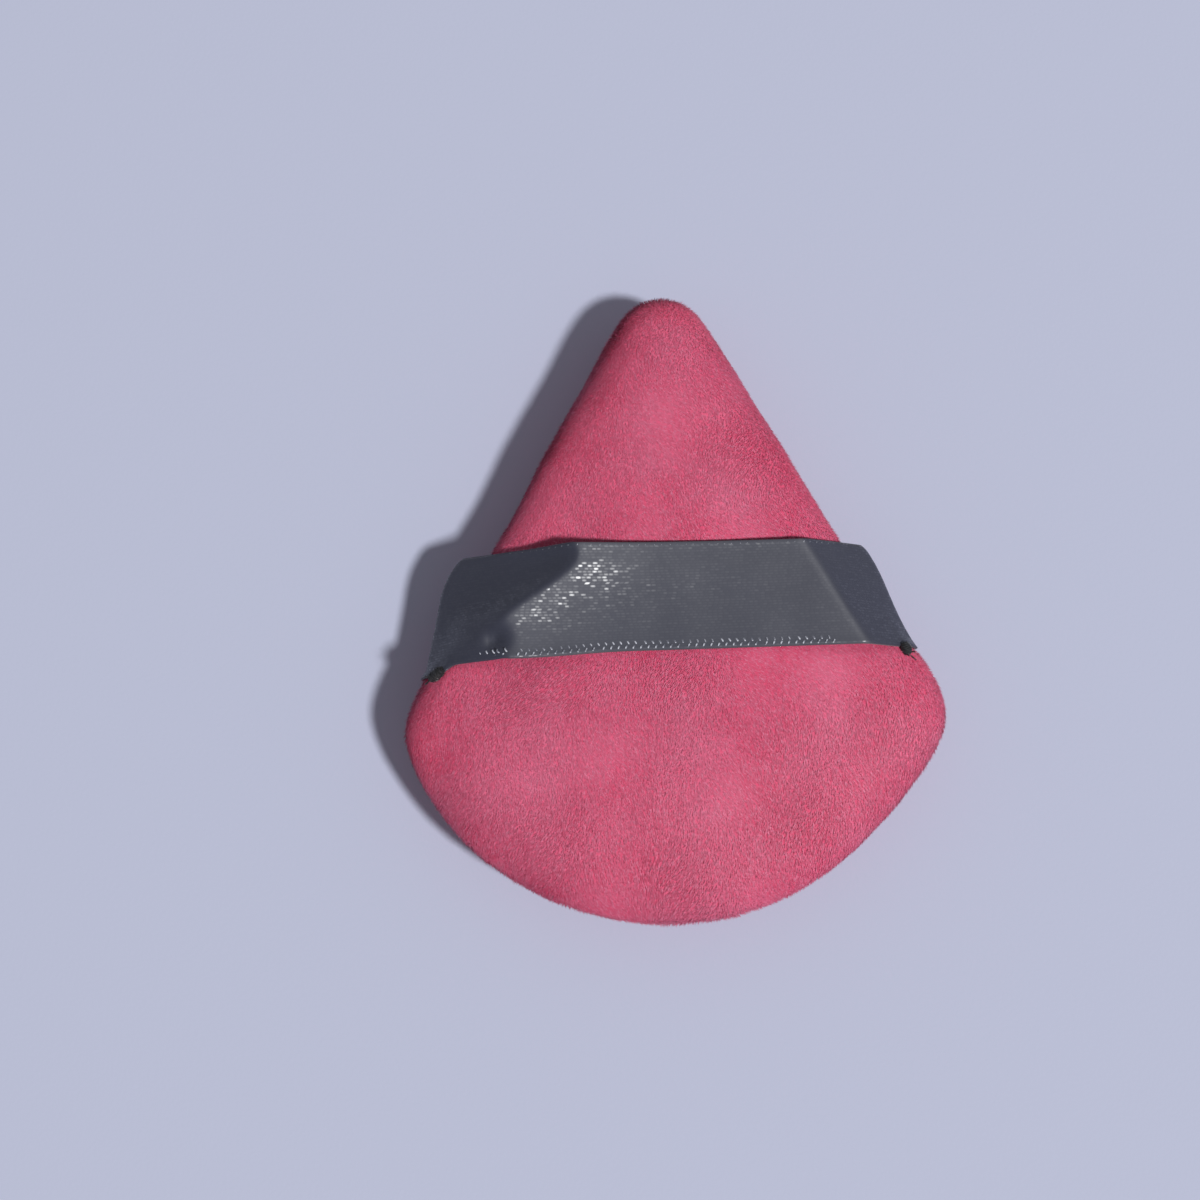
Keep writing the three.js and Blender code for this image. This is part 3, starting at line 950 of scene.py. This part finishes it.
def alongEdge(edge, inner, start):  # frames at even steps along one edge of the ribbon
    middle = Vector((0, strapMiddle, seamLevel))
    gone = start
    lowest = seamLevel + 2 * strapPlan["foldHeight"]
    shown = [k for k in range(1, len(edge) - 1) if edge[k].z > lowest]
    for k in shown:
        gone += (edge[k] - edge[k - 1]).length
        if gone < selvedgePlan["pitch"]:
            continue
        gone -= selvedgePlan["pitch"]
        along = (edge[k + 1] - edge[k - 1]).normalized()
        inwards = (inner[k] - edge[k]).normalized()
        out = along.cross(inwards).normalized()
        if out.dot(edge[k] - middle) < 0:
            out.negate()
        yield edge[k], along, inwards, out


def weaveSelvedge(rows):
    pattern = loopPattern()
    count = len(pattern.vertices)
    bm = bmesh.new()
    lower = (rows[0][0], rows[1][0], selvedgePlan["lowerRows"])
    upper = (rows[-1][0], rows[-2][0], selvedgePlan["upperRows"])
    for edge, inner, offsets in (lower, upper):
        for turn, (offset, sunk) in enumerate(offsets):
            slant = Matrix.Rotation(math.radians(selvedgePlan["slant"] * (1 - 2 * turn)), 4, "Z")
            for place, along, inwards, out in alongEdge(edge, inner, turn * selvedgePlan["pitch"] / 2):
                bm.from_mesh(pattern)
                bm.verts.ensure_lookup_table()
                stand = Matrix((along, out.cross(along), out)).transposed().to_4x4()
                onFlat = selvedgePlan["flat"][0] < place.x < selvedgePlan["flat"][1]
                deep = sunk if onFlat else max(sunk, selvedgePlan["flapSunk"])
                stand.translation = place + inwards * offset + out * (strapPlan["thickness"] / 2 - deep)
                bmesh.ops.transform(bm, matrix=stand @ slant, verts=bm.verts[-count:])
    bpy.data.meshes.remove(pattern)
    return linkPiece("strap_selvedge", meshFrom("strap_selvedge", bm), selvedgeThread)


selvedge = weaveSelvedge(ribbonRows)
print("selvedge has", len(selvedge.data.polygons), "faces")


# Sewing: the tacks at the strap's lower corners, and the hand stitches that close the base

tackPlan = {
    "threadRadius": 0.2 * mm,
    "turns": 6,
    "turnSteps": 10,
    "coilRadius": 0.55 * mm,
    "length": {-1: 2.1 * mm, 1: 1.4 * mm},
    "lean": {-1: 80, 1: 25},  # from the rim's direction towards the ribbon's
    "inside": {-1: 2.3 * mm, 1: 2.0 * mm},  # of the ribbon's lower corner
    "below": {-1: -0.15 * mm, 1: 0.4 * mm},  # the ribbon's edge
    "proud": 0.25 * mm,
    "waver": 0.25,  # of the coil's radius, which differs from turn to turn
    "waverStep": 0.37,
    "taper": 0.7,
    "bars": 3,  # under the winding
    "barTurn": 2.1,
    "barSpread": 0.45,  # of the coil's radius
    "barKnots": (-0.6, -0.2, 0.2, 0.55),  # of the tack's length
    "tails": 3,
    "tailLength": 1.7 * mm,
    "tailCurl": 0.35,
    "tailThickness": 0.45,  # a loose end is untwisted to single plies
    "seed": 5,
}
closingPlan = {
    "threadRadius": 0.18 * mm,
    "pitch": 2.5 * mm,
    "reach": 1.3 * mm,  # each side of the seam
    "slant": 0.8 * mm,
    "first": 0.25,  # of a pitch, from the end of the gap
    "proud": 1.2,  # of the thread's radius
    "sunk": 0.5 * mm,  # where it goes into the cloth
}


def threadPiece(name, lines, radius, material):
    # lines of points, each with its share of the thread's thickness
    curve = bpy.data.curves.new(name, "CURVE")
    curve.dimensions = "3D"
    curve.bevel_depth = radius
    curve.bevel_resolution = 1
    curve.use_fill_caps = True
    for points, share in lines:
        spline = curve.splines.new("POLY")
        spline.points.add(len(points) - 1)
        for knot, place in zip(spline.points, points):
            knot.co = (*place, 1)
            knot.radius = share
    guide = bpy.data.objects.new(name, curve)
    scene.collection.objects.link(guide)
    depsgraph = bpy.context.evaluated_depsgraph_get()
    mesh = bpy.data.meshes.new_from_object(guide.evaluated_get(depsgraph))
    bpy.data.objects.remove(guide)
    return linkPiece(name, mesh, material)


def windTack(name, side):
    draw = random.Random(tackPlan["seed"] + side)
    length = tackPlan["length"][side]
    edge = ribbonRows[0][0]
    onTop = aboveFolds(edge)
    reach = max(side * edge[k].x for k in onTop) - tackPlan["inside"][side]
    corner = min(onTop, key=lambda k: abs(side * edge[k].x - reach))
    outwards = (edge[corner + 1] - edge[corner - 1]).normalized() * side
    lean = math.radians(tackPlan["lean"][side])
    axis = (outwards * math.sin(lean) - Vector((0, math.cos(lean), 0))).normalized()
    up = Vector((-outwards.z * side, 0, outwards.x * side)).normalized()
    up -= axis * up.dot(axis)
    across = axis.cross(up)
    middle = edge[corner] + up * tackPlan["proud"] - Vector((0, tackPlan["below"][side], 0))
    radius = tackPlan["coilRadius"]
    steps = tackPlan["turnSteps"] * tackPlan["turns"]
    coil = []
    for k in range(steps + 1):
        turn = 2 * math.pi * k / tackPlan["turnSteps"]
        along = (k / steps - 0.5) * length
        wide = radius * (1 + tackPlan["waver"] * noise.noise(Vector((k * tackPlan["waverStep"], side, 0))))
        wide *= math.sqrt(max(1 - (2 * k / steps - 1) ** 2 * tackPlan["taper"], 0))
        coil.append(middle + axis * along + (across * math.cos(turn) + up * math.sin(turn)) * wide)
    lines = [(coil, 1)]
    for k in range(tackPlan["bars"]):
        turn = k * tackPlan["barTurn"]
        lift = (across * math.cos(turn) + up * math.sin(turn)) * radius * tackPlan["barSpread"]
        lines.append(([middle + lift + axis * length * share for share in tackPlan["barKnots"]], 1))
    for k in range(tackPlan["tails"]):
        bend = Vector((side * draw.uniform(-0.3, 1), draw.uniform(-1, 0.1), draw.uniform(-0.3, 0.6)))
        start = middle + axis * length * draw.uniform(0.2, 0.5)
        long = tackPlan["tailLength"] * draw.uniform(0.5, 1)
        curl = Vector([draw.uniform(-1, 1) for axisNumber in range(3)]) * tackPlan["tailCurl"]
        tail = [start + (bend.normalized() * share + curl * share * share) * long
                for share in (0, 0.25, 0.5, 0.75, 1)]
        lines.append((tail, tackPlan["tailThickness"]))
    return threadPiece(name, lines, tackPlan["threadRadius"], tackThread)


def baseSkin(x, z, depth):  # a point on the base of the pad, or that far under it
    hit, normal, index, far = skinTree.ray_cast(Vector((x, padPlan["heart"].y, z)), Vector((0, -1, 0)))
    return hit - normal * depth


def sewBase():
    lowest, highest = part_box("closing_stitch")
    count = round((highest.x - lowest.x) / closingPlan["pitch"])
    radius = closingPlan["threadRadius"]
    lines = []
    for k in range(count):
        x = lowest.x + (k + closingPlan["first"]) * closingPlan["pitch"]
        stitch = [baseSkin(x, seamLevel - closingPlan["reach"], closingPlan["sunk"])]
        for share in (-1, -0.5, 0, 0.5, 1):
            z = seamLevel + share * closingPlan["reach"]
            pulled = baseSkin(x + (share + 1) / 2 * closingPlan["slant"], z, 0)
            stitch.append(pulled - Vector((0, radius * (closingPlan["proud"] - share * share), 0)))
        end = x + closingPlan["slant"]
        stitch.append(baseSkin(end, seamLevel + closingPlan["reach"], closingPlan["sunk"]))
        lines.append((stitch, 1))
    return threadPiece("base_stitches", lines, radius, pinkThread)


leftTack = windTack("left_tack", -1)
rightTack = windTack("right_tack", 1)
baseStitches = sewBase()
print("sewing done")


# What each piece stands for, and what it moves with

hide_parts("back_velour_panel")
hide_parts("face_velour_panel")
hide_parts("finger_strap", "left_strap_end", "right_strap_end")
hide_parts("left_strap_tack")
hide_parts("right_strap_tack")
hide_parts("closing_stitch")
for piece in (backVelour, *backPiles, filling["back_fleece"], filling["foam_filling"]):
    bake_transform(piece)
for piece in (faceVelour, facePile, filling["face_fleece"], leftTack, rightTack, baseStitches):
    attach(piece, "pad")
for piece in (strap, selvedge):
    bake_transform(piece)
giveMaterial(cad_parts["seam_thread"].data, pinkThread)


# Floor, light and camera

stagePlan = {
    "floor": "#BDC1D6",
    "floorSize": 4.0,
    "surround": "#EDEFF6",
    "frameWidth": 151 * mm,  # what the photograph's width spans at the puff
    "imageWidth": 1200,
    "puffPixel": (667, 611),  # where the middle of the puff lies in the photograph
    "lens": 65,
    "sensor": 36,
    "elevation": 80,  # camera height over the table, from the base of the puff
    "roll": 2.0,  # how far the puff lies turned in the photograph
    "keyFrom": (0.8, -0.6),  # plan direction of the main light
    "keyElevation": 58,
    "keyDistance": 6,  # far, so that the floor is evenly lit
    "keySize": 0.64,
    "keyShare": 0.74,  # of a plain level of light, the rest comes from all round
}


def makeFloor():
    # matt paper, pale and cool, with a faint fibre grain
    material, tree, shader = newMaterial("matt_paper", {
        "Base Color": hexColour(stagePlan["floor"]), "Roughness": 0.9, "Specular IOR Level": 0.2})
    place = addNode(tree, "TexCoord").outputs["Object"]
    grain = addNode(tree, "TexNoise", values={"Scale": 1 / (0.5 * mm), "Detail": 3},
                    links={"Vector": place})
    bump = addNode(tree, "Bump", values={"Strength": 0.15, "Distance": 0.1 * mm}, links={"Height": grain})
    plug(tree, shader, {"Normal": bump})
    bm = bmesh.new()
    bmesh.ops.create_grid(bm, x_segments=1, y_segments=1, size=stagePlan["floorSize"])
    floor = linkPiece("floor", meshFrom("floor", bm), material)


def makeLights():
    world = bpy.data.worlds.new("studio")
    world.use_nodes = True
    around = world.node_tree.nodes["Background"]
    around.inputs["Color"].default_value = hexColour(stagePlan["surround"])
    around.inputs["Strength"].default_value = 1 - stagePlan["keyShare"]
    scene.world = world
    rise = math.radians(stagePlan["keyElevation"])
    plan = Vector(stagePlan["keyFrom"]).normalized() * math.cos(rise)
    way = Vector((plan.x, plan.y, math.sin(rise)))
    lamp = bpy.data.lights.new("key", "AREA")
    lamp.shape = "DISK"
    lamp.size = stagePlan["keySize"]
    # a lamp of this power lights level white paper to the share that the world leaves
    lamp.energy = stagePlan["keyShare"] * math.pi ** 2 * stagePlan["keyDistance"] ** 2 / math.sin(rise)
    key = bpy.data.objects.new("key", lamp)
    key.location = way * stagePlan["keyDistance"]
    key.rotation_euler = way.to_track_quat("Z", "Y").to_euler()
    scene.collection.objects.link(key)


def makeCamera():
    rise = math.radians(stagePlan["elevation"])
    roll = math.radians(stagePlan["roll"])
    back = Vector((0, -math.cos(rise), math.sin(rise)))
    level = Vector((1, 0, 0))
    upright = back.cross(level)
    up = upright * math.cos(roll) + level * math.sin(roll)
    right = level * math.cos(roll) - upright * math.sin(roll)
    pixel = stagePlan["frameWidth"] / stagePlan["imageWidth"]
    half = stagePlan["imageWidth"] / 2
    middle = Vector((0, 0, seamLevel))
    aim = middle - right * (stagePlan["puffPixel"][0] - half) * pixel
    aim += up * (stagePlan["puffPixel"][1] - half) * pixel
    data = bpy.data.cameras.new("camera")
    data.lens = stagePlan["lens"]
    data.sensor_width = stagePlan["sensor"]
    data.clip_start = 10 * mm
    camera = bpy.data.objects.new("camera", data)
    eye = aim + back * stagePlan["frameWidth"] * stagePlan["lens"] / stagePlan["sensor"]
    camera.matrix_world = Matrix.Translation(eye) @ Matrix((right, up, back)).transposed().to_4x4()
    scene.collection.objects.link(camera)
    scene.camera = camera


makeFloor()
makeLights()
makeCamera()
scene.view_settings.view_transform = "Standard"
print("stage set")
